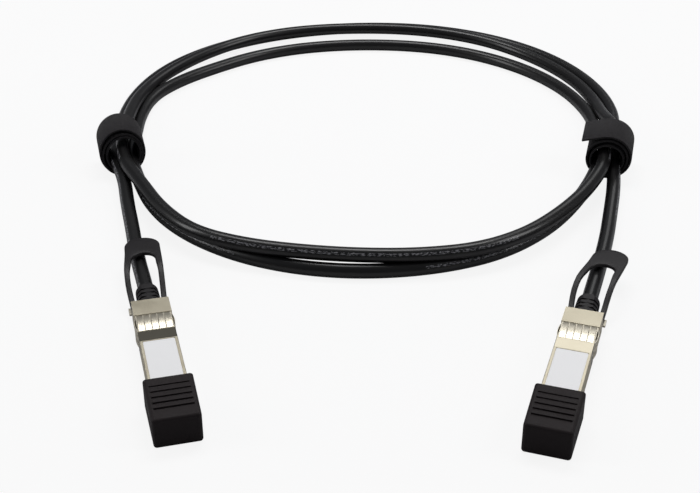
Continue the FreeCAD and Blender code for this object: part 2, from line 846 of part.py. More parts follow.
def pull_tab(side):
    """Moulded loop: two legs on the slider's ears, rising past the boot to a head over the cable."""
    body = new_body(f"{side}_pull_tab")
    foot = "(dims.channel_depth - dims.slider_top_gap)"
    foot_front = "(-dims.slider_ear_gap)"
    foot_back = "(-dims.slider_ear_gap - dims.tab_foot_length)"
    head_low = f"({AXIS_HEIGHT} + dims.cable_diameter / 2 + dims.tab_cable_gap)"
    head_front = f"({foot_back} - dims.tab_rise_length)"
    far = "-dims.tab_length"
    side_view = new_sketch(body, "side_view", "XZ")
    polygon(
        side_view,
        [
            (foot_front, foot),
            (foot_front, f"{foot} + dims.tab_thickness"),
            (foot_back, f"{foot} + dims.tab_thickness"),
            (f"{head_front}", f"{head_low} + dims.tab_thickness"),
            (far, f"{head_low} + dims.tab_thickness"),
            (far, head_low),
            (f"{head_front} - 0.5", head_low),
            (f"{foot_back} - 0.5", foot),
        ],
    )
    pad(body, side_view, "dims.tab_width", middle=True)
    widths = {
        "1": "dims.tab_foot_width / 2",
        f"{foot_back}": "dims.tab_foot_width / 2",
        f"{head_front}": "dims.tab_width / 2",
        "-dims.tab_length + dims.tab_head_side": "dims.tab_head_width / 2",
        "-dims.tab_length - 1": "dims.tab_head_width / 2",
    }
    for name, sign in (("right", "-"), ("left", "")):
        trim = new_sketch(body, f"trim_{name}", "XY", "-1")
        outline = [(x, f"{sign}({half})") for x, half in widths.items()]
        outline += [
            ("-dims.tab_length - 1", f"{sign}(dims.tab_width)"),
            ("1", f"{sign}(dims.tab_width)"),
        ]
        polygon(trim, outline)
        pocket(body, trim, "dims.housing_height + dims.cable_diameter + 5", forward=True)
    window = new_sketch(body, "window", "XY", "-1")
    window_back = "(-dims.tab_length + dims.tab_head_length)"
    rear_half = "(dims.tab_head_width / 2 - dims.tab_leg)"
    inner = [
        ("1", "dims.tab_foot_width / 2 - dims.tab_leg"),
        (f"{foot_back}", "dims.tab_foot_width / 2 - dims.tab_leg"),
        (f"{head_front}", "dims.tab_width / 2 - dims.tab_leg"),
        (window_back, rear_half),
    ]
    polygon(window, inner + [(x, f"-({half})") for x, half in reversed(inner)])
    pocket(body, window, "dims.housing_height + dims.cable_diameter + 5", forward=True)
    for x, half, share in (
        (far, "(dims.tab_head_width / 2)", 0.92),
        (window_back, rear_half, 0.85),
    ):
        blend_edges(
            body,
            "Fillet",
            "Radius",
            f"{half} * {share}",
            lambda a, b, x=value_of(x), y=value_of(half): near(a.x, x)
            and near(b.x, x)
            and near(abs(a.y), y)
            and near(a.y, b.y),
        )
    head_top = value_of(f"{head_low} + dims.tab_thickness")
    blend_edges(
        body,
        "Fillet",
        "Radius",
        "dims.tab_edge_round",
        lambda a, b: near(a.z, head_top)
        and near(b.z, head_top)
        and min(a.x, b.x) < value_of(window_back) + 0.1
        and max(a.x, b.x) < value_of(head_front) - 0.1,
    )
    raised = new_sketch(body, "raised", "XY", f"{head_low} + dims.tab_thickness - 0.3")
    pad_middle = f"({far} + (dims.tab_head_length) / 2)"
    rectangle(
        raised,
        f"{pad_middle} - dims.tab_pad_length / 2",
        f"{pad_middle} + dims.tab_pad_length / 2",
        "-dims.tab_pad_width / 2",
        "dims.tab_pad_width / 2",
    )
    pad(body, raised, "dims.tab_pad_height + 0.3")
    blend_edges(
        body,
        "Fillet",
        "Radius",
        "dims.tab_pad_length / 4",
        lambda a, b: near(abs(a.y), value_of("dims.tab_pad_width / 2"))
        and near(a.x, b.x)
        and near(a.y, b.y)
        and near(max(a.z, b.z), head_top + value_of("dims.tab_pad_height")),
    )
    return place_on_plug(body, side)


# ---------------------------------------------------------------- boot and cap


def strain_relief(side):
    """Ribbed boot moulded round the cable, flattened above and below, against the housing."""
    body = new_body(f"{side}_strain_relief")
    section = new_sketch(body, "section", "XZ")
    bore = f"({AXIS_HEIGHT} + {BORE_RADIUS})"
    front = f"({AXIS_HEIGHT} + {BOOT_FRONT})"
    rear = f"({AXIS_HEIGHT} + {BOOT_REAR})"
    slope = "((dims.boot_front_wall - dims.boot_rear_wall) / dims.boot_length)"
    outline = [("0", bore), ("0", front)]
    for groove in range(BOOT_GROOVES):
        near_x = f"(dims.boot_first_groove + dims.boot_groove_pitch * {groove})"
        far_x = f"({near_x} + dims.boot_groove_width)"
        for x, depth in (
            (near_x, "0"),
            (near_x, "dims.boot_groove_depth"),
            (far_x, "dims.boot_groove_depth"),
            (far_x, "0"),
        ):
            outline.append((f"-{x}", f"{front} - {slope} * {x} - {depth}"))
    outline += [
        ("-dims.boot_length", rear),
        ("-dims.boot_length", bore),
    ]
    polygon(section, outline)
    axis_line = section.addGeometry(
        Part.LineSegment(
            FreeCAD.Vector(0, value_of(AXIS_HEIGHT), 0), FreeCAD.Vector(1, value_of(AXIS_HEIGHT), 0)
        ),
        True,
    )
    tie_point(section, axis_line, 1, "0", AXIS_HEIGHT)
    tie_point(section, axis_line, 2, "1", AXIS_HEIGHT)
    turned = body.newObject("PartDesign::Revolution", f"{body.Name}_turned")
    turned.Profile = section
    turned.ReferenceAxis = (section, ["Axis0"])
    turned.Angle = 360
    doc.recompute()
    rear_end = value_of("-dims.boot_length")
    rim = value_of(rear)
    blend_edges(
        body,
        "Fillet",
        "Radius",
        "dims.boot_rear_round",
        lambda a, b: near(a.x, rear_end)
        and near(b.x, rear_end)
        and near(math.hypot(a.y, a.z - value_of(AXIS_HEIGHT)), rim - value_of(AXIS_HEIGHT)),
    )
    half_height = f"({BORE_RADIUS} + dims.boot_flat_wall)"
    for name, sign in (("above", "+"), ("below", "-")):
        flat = new_sketch(body, f"flat_{name}", "XY", f"{AXIS_HEIGHT} {sign} {half_height}")
        rectangle(
            flat,
            "-dims.boot_length - 1",
            "1",
            f"-{BOOT_FRONT} - 1",
            f"{BOOT_FRONT} + 1",
        )
        pocket(body, flat, "5", forward=(name == "above"))
    return place_on_plug(body, side)


def dust_cap(side):
    """Soft cap over the nose: slightly tapered box with rounded edges and grip ribs on top."""
    body = new_body(f"{side}_dust_cap")
    middle = "(dims.housing_height / 2)"
    front = f"({CAP_BACK} + dims.cap_length)"
    low = f"({middle} - dims.cap_height / 2)"
    high = f"({middle} + dims.cap_height / 2)"
    plan = new_sketch(body, "plan", "XY", low)
    polygon(
        plan,
        [
            (CAP_BACK, "-dims.cap_width / 2"),
            (front, "-(dims.cap_width / 2 - dims.cap_taper)"),
            (front, "dims.cap_width / 2 - dims.cap_taper"),
            (CAP_BACK, "dims.cap_width / 2"),
        ],
    )
    pad(body, plan, "dims.cap_height")
    slope = new_sketch(body, "slope", "XZ")
    polygon(
        slope,
        [
            (CAP_BACK, high),
            (front, f"{high} - dims.cap_taper"),
            (front, f"{high} + 1"),
            (CAP_BACK, f"{high} + 1"),
        ],
    )
    pocket(body, slope, "dims.cap_width * 2", middle=True)
    front_x = value_of(front)
    blend_edges(
        body,
        "Fillet",
        "Radius",
        "dims.cap_corner",
        lambda a, b: near(a.x, front_x) or near(b.x, front_x),
    )
    hollow = new_sketch(body, "hollow", "YZ", f"{CAP_BACK} - 1")
    rectangle(
        hollow,
        "-(dims.body_width / 2 + dims.cap_clearance)",
        "dims.body_width / 2 + dims.cap_clearance",
        "-dims.cap_clearance",
        "dims.housing_height + dims.cap_clearance",
    )
    pocket(body, hollow, "dims.cap_length - dims.cap_front_wall + 1", forward=True)
    rib = new_sketch(body, "rib", "XY", f"{high} - dims.cap_taper - 0.2")
    rectangle(
        rib,
        f"{CAP_BACK} + dims.cap_first_rib",
        f"{CAP_BACK} + dims.cap_first_rib + dims.cap_rib_width",
        "-(dims.cap_width / 2 - dims.cap_corner - 0.6)",
        "dims.cap_width / 2 - dims.cap_corner - 0.6",
    )
    ridge = pad(body, rib, "dims.cap_taper + 0.2 + dims.cap_rib_height")
    repeat(body, ridge, "X", "dims.cap_rib_pitch", CAP_RIBS)
    return place_on_plug(body, side)


# ---------------------------------------------------------------- cable, loop and ties


def rounded_route(points):
    """A wire of straight runs and the widest tangent arcs that the runs allow."""
    edges = []
    radii = []
    last = points[0]
    for before, corner, after in zip(points, points[1:], points[2:]):
        inward = (corner - before).normalize()
        outward = (after - corner).normalize()
        turn = inward.getAngle(outward)
        reach = RUN_SHARE * min((corner - before).Length, (after - corner).Length)
        radii.append(reach / math.tan(turn / 2))
        start = corner - inward * reach
        end = corner + outward * reach
        towards = (outward - inward).normalize()
        rise = radii[-1] * (1 / math.cos(turn / 2) - 1)
        edges.append(Part.LineSegment(last, start).toShape())
        edges.append(Part.Arc(start, corner + towards * rise, end).toShape())
        last = end
    edges.append(Part.LineSegment(last, points[-1]).toShape())
    return Part.Wire(edges), radii


def cable_lead(side):
    """The stretch of cable from inside a plug to the loop."""
    turn = math.radians(dims.get(f"{side}_plug_turn"))
    forward = FreeCAD.Vector(math.cos(turn), math.sin(turn), 0)
    rear = FreeCAD.Vector(
        dims.get(f"{side}_plug_x"),
        dims.get(f"{side}_plug_y"),
        value_of(f"{LIFT} + {AXIS_HEIGHT}"),
    )
    points = [rear + forward * dims.get("jacket_end"), rear - forward * LEAD_STRAIGHT]
    points += [FreeCAD.Vector(*spot) for spot in LEAD_POINTS[side]]
    path, radii = rounded_route(points)
    radius = dims.get("cable_diameter") / 2
    section = Part.Wire([Part.Circle(points[0], forward, radius).toShape()])
    tube = path.makePipeShell([section], True, False)
    lead = doc.addObject("Part::Feature", f"cable_lead_{side}")
    lead.Label = lead.Name
    lead.Shape = tube
    expected = math.pi * radius**2 * path.Length
    print(f"{lead.Label}: length {path.Length:.1f}, radii {[round(r) for r in radii]}")
    print(f"{lead.Label}: volume {tube.Volume:.0f}, section times length {expected:.0f}")
    return lead


def tie_rotation(side):
    """Turns a cylinder's own axis from up to along the loop where the tie sits."""
    lay_down = FreeCAD.Rotation(FreeCAD.Vector(1, 0, 0), -90)
    turn = FreeCAD.Rotation(FreeCAD.Vector(0, 0, 1), dims.get(f"{side}_tie_turn"))
    return turn.multiply(lay_down)


def tie_cylinder(side, name, radius, width):
    """A cylinder about a tie's axis, centred on the tie."""
    disc = doc.addObject("Part::Cylinder", f"{side}_{name}")
    disc.setExpression("Radius", radius)
    disc.setExpression("Height", width)
    disc.Placement = FreeCAD.Placement(FreeCAD.Vector(0, 0, 0), tie_rotation(side))
    along = disc.Placement.Rotation.multVec(FreeCAD.Vector(0, 0, 1))
    set_sizes(
        disc,
        {
            "Placement.Base.x": f"dims.{side}_tie_x - ({width}) / 2 * ({along.x})",
            "Placement.Base.y": f"dims.{side}_tie_y - ({width}) / 2 * ({along.y})",
            "Placement.Base.z": "dims.tie_diameter / 2",
        },
    )
    return disc


def cut_away(name, base, tool):
    result = doc.addObject("Part::Cut", name)
    result.Label = name
    result.Base = base
    result.Tool = tool
    return result


def hook_loop_tie(side):
    """Hook-and-loop strap wrapped round the loop: one soft band that stands on the floor."""
    band = tie_cylinder(side, "tie_outside", "dims.tie_diameter / 2", "dims.tie_width")
    hole = tie_cylinder(
        side, "tie_inside", "dims.tie_diameter / 2 - dims.tie_thickness", "dims.tie_width + 2"
    )
    return cut_away(f"{side}_tie", band, hole)


def ellipse(sketch, centre_x, centre_y, half_x, half_y):
    """An ellipse with its axes along X and Y; half_y is the longer half."""
    cx, cy = value_of(centre_x), value_of(centre_y)
    edge = sketch.addGeometry(
        Part.Ellipse(
            FreeCAD.Vector(cx, cy + value_of(half_y), 0),
            FreeCAD.Vector(cx - value_of(half_x), cy, 0),
            FreeCAD.Vector(cx, cy, 0),
        ),
        False,
    )
    sketch.exposeInternalGeometry(edge)
    tie_point(sketch, edge, 3, centre_x, centre_y)
    long_end = 1 if sketch.getPoint(edge + 1, 1).y > cy else 2
    side_end = 1 if sketch.getPoint(edge + 2, 1).x > cx else 2
    tie_point(sketch, edge + 1, long_end, centre_x, f"{centre_y} + {half_y}")
    half = sketch.addConstraint(
        Sketcher.Constraint("DistanceX", -1, 1, edge + 2, side_end, cx + value_of(half_x))
    )
    sketch.setExpression(f"Constraints[{half}]", f"{centre_x} + {half_x}")


def cable_loop():
    """Outer shape of the tied loop of cable: narrow in front, wide behind, round in the ties."""
    body = new_body("loop_blank")
    plan = new_sketch(body, "plan")
    ellipse(
        plan,
        "dims.loop_outer_x",
        "dims.loop_outer_y",
        "dims.loop_outer_half_width",
        "dims.loop_outer_half_depth",
    )
    ellipse(
        plan,
        "dims.loop_inner_x",
        "dims.loop_inner_y",
        "dims.loop_inner_half_width",
        "dims.loop_inner_half_depth",
    )
    ring = pad(body, plan, "dims.loop_height")
    round_edges = [f"Edge{n}" for n, edge in enumerate(ring.Shape.Edges, start=1) if edge.Closed]
    rims = body.newObject("PartDesign::Fillet", "loop_rims")
    rims.Base = (ring, round_edges)
    rims.setExpression("Radius", "dims.loop_rounding")
    body.Tip = rims
    doc.recompute()
    shape = body
    for side in ("left", "right"):
        reach = "dims.loop_height * 3"
        slab = "dims.tie_width + 2 * dims.tie_clearance + 2"
        around = tie_cylinder(side, "tie_room", reach, slab)
        core = tie_cylinder(
            side,
            "tie_core",
            "dims.tie_diameter / 2 - dims.tie_thickness - dims.tie_clearance",
            f"{slab} + 2",
        )
        room = cut_away(f"{side}_tie_cut", around, core)
        shape = cut_away("cable_coil" if side == "right" else "loop_cut", shape, room)
    return shape


PLUG_PIECES = [
    lower_shell,
    upper_shell,
    shell_screw,
    label,
    emi_collar,
    circuit_board,
    memory_chip,
    crimp_ferrule,
    twinax_pairs,
    latch_slider,
    latch_spring,
    pull_tab,
    strain_relief,
    dust_cap,
]

nodes = [piece(side) for side in ("left", "right") for piece in PLUG_PIECES]
nodes += [cable_lead(side) for side in ("left", "right")]
nodes += [hook_loop_tie(side) for side in ("left", "right")]
nodes.append(cable_loop())
doc.recompute()

for item in doc.Objects:
    if "Invalid" in item.State or "Error" in item.State:
        raise RuntimeError(f"{item.Name} failed: {item.State}")
for node in nodes:
    if node.Shape.isNull() or not node.Shape.isValid() or node.Shape.Volume <= 0:
        raise RuntimeError(f"{node.Label} has no valid solid")

os.makedirs("parts", exist_ok=True)
for node in nodes:
    node.Shape.exportStep(f"parts/{node.Label}.step")
    print(f"{node.Label}: {len(node.Shape.Solids)} solid, {node.Shape.Volume:.0f} mm3")
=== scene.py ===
# %% [markdown]
# # Direct attach copper cable
# A black twinax cable with a metal plug on each end, wound in two and a half turns and tied twice.
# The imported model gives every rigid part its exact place, so it is loaded first as a fixed frame.
# Blender then adds what the rigid model leaves out: the cable itself, the two hook-and-loop ties
# and a finish on every part.

# %% Load the frame
import math

import bmesh
import bpy
from mathutils import Matrix, Vector


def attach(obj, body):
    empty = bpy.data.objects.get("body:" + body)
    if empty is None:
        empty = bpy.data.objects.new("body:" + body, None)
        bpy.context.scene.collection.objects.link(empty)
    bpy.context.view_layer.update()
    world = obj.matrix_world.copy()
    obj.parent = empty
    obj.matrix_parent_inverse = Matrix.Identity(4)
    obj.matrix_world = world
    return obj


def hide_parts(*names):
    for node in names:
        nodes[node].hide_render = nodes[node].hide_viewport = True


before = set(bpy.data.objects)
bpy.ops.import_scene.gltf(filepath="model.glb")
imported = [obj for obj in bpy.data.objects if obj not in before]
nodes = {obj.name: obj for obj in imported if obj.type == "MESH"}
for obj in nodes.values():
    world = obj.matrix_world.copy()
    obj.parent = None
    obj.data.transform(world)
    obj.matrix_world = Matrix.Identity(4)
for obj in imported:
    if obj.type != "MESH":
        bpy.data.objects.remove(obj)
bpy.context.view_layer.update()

MM = 0.001
SIDES = ("left", "right")
# The middle of each plug's rear face, in millimetres, and the way its nose points, in degrees.
PLUGS = {"left": (-80.57, 17.3, -75.6), "right": (78.33, 10.3, -107.9)}
PLUG_LIFT = 1.8

# %% [markdown]
# ## Camera
# The cable is seen from the front and from about thirty degrees above the table, with a fairly
# long lens from half a metre away. The camera comes first, because the cable's check depends on
# what it sees.

# %% Camera
LENS_MM = 66.6
CAMERA_PLACE = Vector((-0.0069, -0.3808, 0.272))
CAMERA_DOWN = 31.0

lens = bpy.data.cameras.new("camera")
lens.lens = LENS_MM
lens.sensor_width = 36.0
lens.clip_start = 0.01
camera = bpy.data.objects.new("camera", lens)
camera.location = CAMERA_PLACE
camera.rotation_euler = (math.radians(90 - CAMERA_DOWN), 0, 0)
bpy.context.scene.collection.objects.link(camera)
bpy.context.scene.camera = camera
print("camera:", LENS_MM, "mm lens,", CAMERA_DOWN, "degrees down")


# %% [markdown]
# ## Shader maths
# A finish is easier to read when its patterns are written as sums. `Field` wraps one output of a
# node, and its operators add Math nodes. `Finish` owns one material and adds every other node.

# %% Field: one output that can be used in sums
class Field:
    """An output socket. Sums with numbers or other fields add Math nodes."""

    def __init__(self, finish, socket):
        self.finish = finish
        self.socket = socket

    def maths(self, operation, first, second):
        settings = {"operation": operation}
        return self.finish.node("ShaderNodeMath", settings, {0: first, 1: second})

    def __add__(self, other):
        return self.maths("ADD", self, other)

    def __radd__(self, other):
        return self.maths("ADD", other, self)

    def __sub__(self, other):
        return self.maths("SUBTRACT", self, other)

    def __rsub__(self, other):
        return self.maths("SUBTRACT", other, self)

    def __mul__(self, other):
        return self.maths("MULTIPLY", self, other)

    def __rmul__(self, other):
        return self.maths("MULTIPLY", other, self)

    def fraction(self):
        return self.maths("FRACT", self, 0.0)

    def __gt__(self, other):
        return self.maths("GREATER_THAN", self, other)

    def __lt__(self, other):
        return self.maths("LESS_THAN", self, other)


# %% [markdown]
# ### One material at a time
# Constants are set straight on the shader's own sockets, and `drive` links a pattern to one of
# them. Patterns are placed in object coordinates, in metres, so that a grain keeps its real size
# on a large part and on a small one.

# %% Finish: a material and the nodes behind it
class Finish:
    """A Principled material. Constants are set on the shader's own sockets."""

    def __init__(self, name, constants):
        self.material = bpy.data.materials.new(name)
        self.material.use_nodes = True
        self.tree = self.material.node_tree
        self.shader = self.tree.nodes["Principled BSDF"]
        for socket, value in constants.items():
            self.shader.inputs[socket].default_value = value

    def node(self, kind, settings=None, inputs=None, output=0):
        """Adds a node: its settings first, then the values or links of its inputs."""
        made = self.tree.nodes.new(kind)
        for name, value in (settings or {}).items():
            setattr(made, name, value)
        for name, value in (inputs or {}).items():
            self.feed(made.inputs[name], value)
        return Field(self, made.outputs[output])

    def feed(self, socket, value):
        if isinstance(value, Field):
            self.tree.links.new(value.socket, socket)
        else:
            socket.default_value = value

    def drive(self, socket, value):
        """Feeds one of the shader's sockets with something that changes over the surface."""
        self.feed(self.shader.inputs[socket], value)

    def place(self, scale=(1, 1, 1)):
        """Object coordinates in metres, stretched."""
        spot = self.node("ShaderNodeTexCoord", output="Object")
        return self.node("ShaderNodeMapping", {}, {"Vector": spot, "Scale": scale})

    def along_plug(self, side):
        """Object coordinates measured from a plug: X along it, Y across it, in metres."""
        plug_x, plug_y, turn = PLUGS[side]
        back = Matrix.Rotation(-math.radians(turn), 3, "Z")
        shift = -(back @ Vector((plug_x, plug_y, PLUG_LIFT))) * MM
        spot = self.node("ShaderNodeTexCoord", output="Object")
        inputs = {"Vector": spot, "Location": shift, "Rotation": (0, 0, -math.radians(turn))}
        return self.node("ShaderNodeMapping", {}, inputs)

    def noise(self, scale, detail=3.0, roughness=0.5, place=None):
        inputs = {
            "Vector": place or self.place(),
            "Scale": scale,
            "Detail": detail,
            "Roughness": roughness,
        }
        return self.node("ShaderNodeTexNoise", {}, inputs)

    def blend(self, factor, first, second):
        """A colour between two others."""
        settings = {"data_type": "RGBA"}
        inputs = {"Factor": factor, 6: (*first, 1.0), 7: (*second, 1.0)}
        return self.node("ShaderNodeMix", settings, inputs, output=2)

    def bump(self, height, depth, strength=1.0):
        """Raises the surface by up to depth, in metres."""
        inputs = {"Height": height, "Distance": depth, "Strength": strength}
        self.drive("Normal", self.node("ShaderNodeBump", {}, inputs))


print("shader helpers ready")

# %% [markdown]
# ## The cable
# The cable is one length of round black twinax from plug to plug. Its line is one smooth NURBS
# curve through the route's points, with a round bevel for the jacket. It leaves the left plug,
# passes the left tie, goes round the back three times and round the front twice, and ends in the
# right plug. Inside the ties the strands lie side by side with one on top, and they change places
# in the right tie, so that one cable makes the whole loop. Its turns were wound by hand and are
# uneven, so the loop is a list of points. They were traced with a separate program, and about a
# quarter of them were then moved by hand.

# %% Route of the cable, in millimetres
LEFT_LEAD = [
    (-78.6, 9.6, 6.15), (-84.3, 31.8, 6.15), (-90.9, 55.0, 5.3),
    (-96.1, 78.3, 4.6), (-101.5, 100.3, 4.6), (-105.7, 120.8, 5.3),
]
LOOP = [
    (-113.6, 141.5, 6.5), (-114.7, 167.1, 4.5), (-116.2, 190.8, 3.5), (-113.7, 213.9, 3.1),
    (-106.9, 236.7, 3.0), (-95.6, 256.7, 3.0), (-79.7, 274.1, 3.0), (-60.2, 287.9, 3.0),
    (-38.9, 297.6, 3.0), (-15.8, 303.5, 3.0), (7.2, 305.3, 3.0), (30.9, 303.0, 3.1),
    (53.4, 296.2, 3.1), (73.9, 285.3, 3.0), (92.0, 269.5, 3.0), (105.7, 250.7, 3.0),
    (115.4, 229.3, 3.0), (120.3, 205.9, 3.2), (120.0, 182.8, 3.8), (113.6, 160.4, 5.0),
    (105.5, 137.7, 5.7), (97.1, 116.0, 4.7), (85.4, 95.8, 3.0), (71.3, 77.3, 3.0), (53.5, 61.8, 3.1),
    (32.2, 52.4, 3.2), (9.4, 48.2, 3.0), (-14.2, 48.3, 3.0), (-37.2, 53.5, 3.1), (-58.1, 63.9, 3.0),
    (-76.3, 79.1, 3.0), (-90.4, 97.7, 3.5), (-99.3, 119.4, 5.0), (-106.5, 142.6, 6.3),
    (-107.0, 165.7, 4.8), (-108.6, 188.9, 3.0), (-105.7, 212.8, 3.0), (-93.4, 232.3, 3.1),
    (-76.2, 249.3, 3.0), (-58.4, 263.8, 3.0), (-36.8, 274.2, 3.0), (-14.2, 279.3, 3.0),
    (9.5, 280.3, 3.0), (33.0, 276.9, 3.1), (55.0, 268.8, 3.1), (74.6, 255.8, 3.0), (90.6, 238.7, 3.0),
    (102.3, 218.3, 3.0), (108.9, 195.6, 3.0), (109.2, 172.1, 4.7), (108.1, 149.8, 12.4),
    (105.7, 126.1, 11.0), (94.9, 105.2, 8.8), (81.3, 85.9, 8.4), (65.3, 68.6, 8.3), (45.4, 56.0, 8.4),
    (22.0, 51.5, 8.3), (-1.5, 51.4, 8.2), (-25.1, 53.6, 8.5), (-47.8, 58.6, 8.5), (-69.7, 68.6, 8.5),
    (-85.1, 86.6, 9.2), (-96.0, 107.5, 10.2), (-107.6, 129.5, 10.9), (-110.6, 152.4, 10.7),
    (-111.6, 175.7, 9.2), (-111.4, 198.9, 7.2), (-106.6, 222.5, 5.6), (-97.5, 243.4, 5.0),
    (-83.8, 262.9, 5.0), (-66.7, 278.8, 5.3), (-45.8, 290.4, 5.4), (-23.3, 296.8, 5.3),
    (0.5, 299.2, 5.1), (23.5, 298.0, 5.0), (46.4, 292.7, 4.7), (67.9, 282.6, 4.1), (85.9, 267.7, 3.2),
    (100.2, 248.5, 3.0), (109.7, 227.4, 3.0), (113.8, 204.5, 4.1), (113.5, 180.7, 7.7),
    (115.1, 157.8, 12.7), (111.0, 135.3, 5.6),
]
RIGHT_LEAD = [
    (107.3, 112.8, 5.3), (102.4, 92.3, 4.7), (97.0, 70.3, 4.8),
    (90.1, 47.3, 5.4), (82.9, 24.6, 6.15), (75.9, 2.7, 6.15),
]
CABLE_DIAMETER = 0.006

route = [Vector(spot) * MM for spot in LEFT_LEAD + LOOP + RIGHT_LEAD]
print("route:", len(route), "points")

# %% [markdown]
# ### One curve for the whole cable
# The curve is a NURBS line of order three that starts and ends on its end points.

# %% Curve
cable_line = bpy.data.curves.new("cable", "CURVE")
cable_line.dimensions = "3D"
cable_line.resolution_u = 12
cable_line.bevel_depth = 1.0
cable_line.bevel_resolution = 7
cable_line.use_fill_caps = True
spline = cable_line.splines.new("NURBS")
spline.points.add(len(route) - 1)
for point, spot in zip(spline.points, route):
    point.co = (*spot, 1.0)
    point.radius = CABLE_DIAMETER / 2
spline.order_u = 3
spline.use_endpoint_u = True
cable = bpy.data.objects.new("cable", cable_line)
bpy.context.scene.collection.objects.link(cable)
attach(cable, "cable")
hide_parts("cable_lead_left", "cable_coil", "cable_lead_right")

# %% [markdown]
# ### Jacket finish
# The jacket is extruded black vinyl: smooth and fairly glossy, with a faint orange-peel from the
# die and slightly duller patches where hands have touched it. Faint print runs along it in groups.
# It is made of broken strokes with no letters, in a narrow band of the cable's girth.

# %% Jacket
jacket = Finish(
    "black_jacket",
    {"Specular IOR Level": 0.42, "Coat Roughness": 0.12},
)
PRINT_GRAIN_ALONG = 1700.0
PRINT_GRAIN_AROUND = 45.0
PRINT_FROM, PRINT_TO = 0.012, 0.075
PRINT_GROUPS = 11.0
PRINT_FILL = 0.62
PRINT_CUT = 0.53

peel = jacket.noise(260.0, 2.0)
handled = jacket.noise(45.0, 4.0)
jacket.drive("Roughness", 0.27 + 0.16 * handled)
jacket.drive("Coat Weight", 0.32 - 0.18 * handled)
uv = jacket.node("ShaderNodeTexCoord", output="UV")
run = jacket.node("ShaderNodeSeparateXYZ", {}, {0: uv}, output="X")
girth = jacket.node("ShaderNodeSeparateXYZ", {}, {0: uv}, output="Y")
stroke_place = {0: run * PRINT_GRAIN_ALONG, 1: girth * PRINT_GRAIN_AROUND}
cell = jacket.node("ShaderNodeCombineXYZ", {}, stroke_place)
stroke = jacket.noise(1.0, 2.0, 0.6, cell) > PRINT_CUT
in_band = stroke * (girth > PRINT_FROM) * (girth < PRINT_TO)
marks = in_band * ((run * PRINT_GROUPS).fraction() < PRINT_FILL)
jacket.drive("Base Color", jacket.blend(marks, (0.0045, 0.0042, 0.0045), (0.22, 0.22, 0.235)))
jacket.bump(peel + 0.35 * jacket.noise(1500.0, 2.0), 0.00004, 0.5)
cable_line.materials.append(jacket.material)
print("jacket:", len(jacket.tree.nodes), "nodes")

# %% [markdown]
# ## Hook-and-loop ties
# Each tie is a woven strap wound round the strands more than twice, so its edge shows several
# layers, and its free end stands away from them. The strap is bent the way a strip is bent by
# hand: it starts as one straight edge under the strands, and each bend spins that edge round a
# centre beside it. The next bend starts where the last one ended.

# %% Bending a strap
def bend_strap(start, across, heading, bends):
    """A strip as wide as the vector across. Bends are (degrees, radius), or (0, length)."""
    strip = bmesh.new()
    ends = [strip.verts.new(start + across * share) for share in (-0.5, 0.5)]
    edge = strip.edges.new(ends)
    place = start.copy()
    axis = across.normalized()
    for degrees, size in bends:
        if degrees == 0:
            made = bmesh.ops.extrude_edge_only(strip, edges=[edge])["geom"]
            moved = [part for part in made if isinstance(part, bmesh.types.BMVert)]
            bmesh.ops.translate(strip, verts=moved, vec=heading * size)
            place = place + heading * size
        else:
            centre = place + axis.cross(heading) * size
            made = bmesh.ops.spin(
                strip,
                geom=[edge, *edge.verts],
                cent=centre,
                axis=axis,
                angle=math.radians(degrees),
                steps=max(2, round(abs(degrees) / 8)),
            )["geom_last"]
            moved = [part for part in made if isinstance(part, bmesh.types.BMVert)]
            turn = Matrix.Rotation(math.radians(degrees), 3, axis)
            place = centre + turn @ (place - centre)
            heading = turn @ heading
        edge = next(e for e in moved[0].link_edges if e.other_vert(moved[0]) in moved)
    bmesh.ops.recalc_face_normals(strip, faces=strip.faces)
    return strip


print("strap bender ready")

# %% [markdown]
# ### Winding the two ties
# The left tie's inner turn hugs the strands and its outer turn stands off to the left, as when a
# strap is closed in a hurry. The right one is wound more evenly, and its free end stands out
# straight. The lean slants each ring a little along the cable.

# %% Winding the two ties, in millimetres
STRAP_THICKNESS = 0.85
STRAP_RIM = 0.22
LEAN_CENTRE = 10.5
TIE_FACTS = {
    "left": {
        "foot": (-109.5, 143.6, 3.0),
        "turn": 14,
        "width": 17.5,
        "lean": 0.24,
        "bends": [
            (180, 7.2), (180, 7.68), (90, 8.15), (90, 8.4), (90, 9.2), (90, 8.1), (0, 1.2),
            (90, 9.2), (90, 10.2), (90, 9.4), (60, 9.8), (0, 5),
        ],
    },
    "right": {
        "foot": (109.4, 140.0, 2.35),
        "turn": -14,
        "width": 19.5,
        "lean": -0.06,
        "bends": [
            (180, 7.0), (180, 7.48), (180, 8.7), (180, 9.17), (180, 10.1), (16, 10.6), (0, 9.5),
        ],
    },
}
ties = {}
for side, facts in TIE_FACTS.items():
    turn = Matrix.Rotation(math.radians(facts["turn"]), 3, "Z")
    foot = Vector(facts["foot"])
    across = turn @ Vector((0, -facts["width"], 0))
    strip = bend_strap(foot, across, turn @ Vector((1, 0, 0)), facts["bends"])
    for corner in strip.verts:
        corner.co.y += facts["lean"] * (corner.co.z - LEAN_CENTRE)
    bmesh.ops.scale(strip, verts=strip.verts, vec=(MM, MM, MM))
    shape = bpy.data.meshes.new(f"{side}_hook_loop_tie")
    strip.to_mesh(shape)
    strip.free()
    shape.shade_smooth()
    tie = bpy.data.objects.new(shape.name, shape)
    bpy.context.scene.collection.objects.link(tie)
    wall = tie.modifiers.new("wall", "SOLIDIFY")
    wall.thickness = STRAP_THICKNESS * MM
    wall.offset = 0.0
    rim = tie.modifiers.new("rim", "BEVEL")
    rim.width = STRAP_RIM * MM
    rim.segments = 2
    rim.limit_method = "ANGLE"
    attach(tie, "cable")
    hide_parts(f"{side}_tie")
    ties[side] = tie
    print(tie.name, len(shape.polygons), "faces before its modifiers")

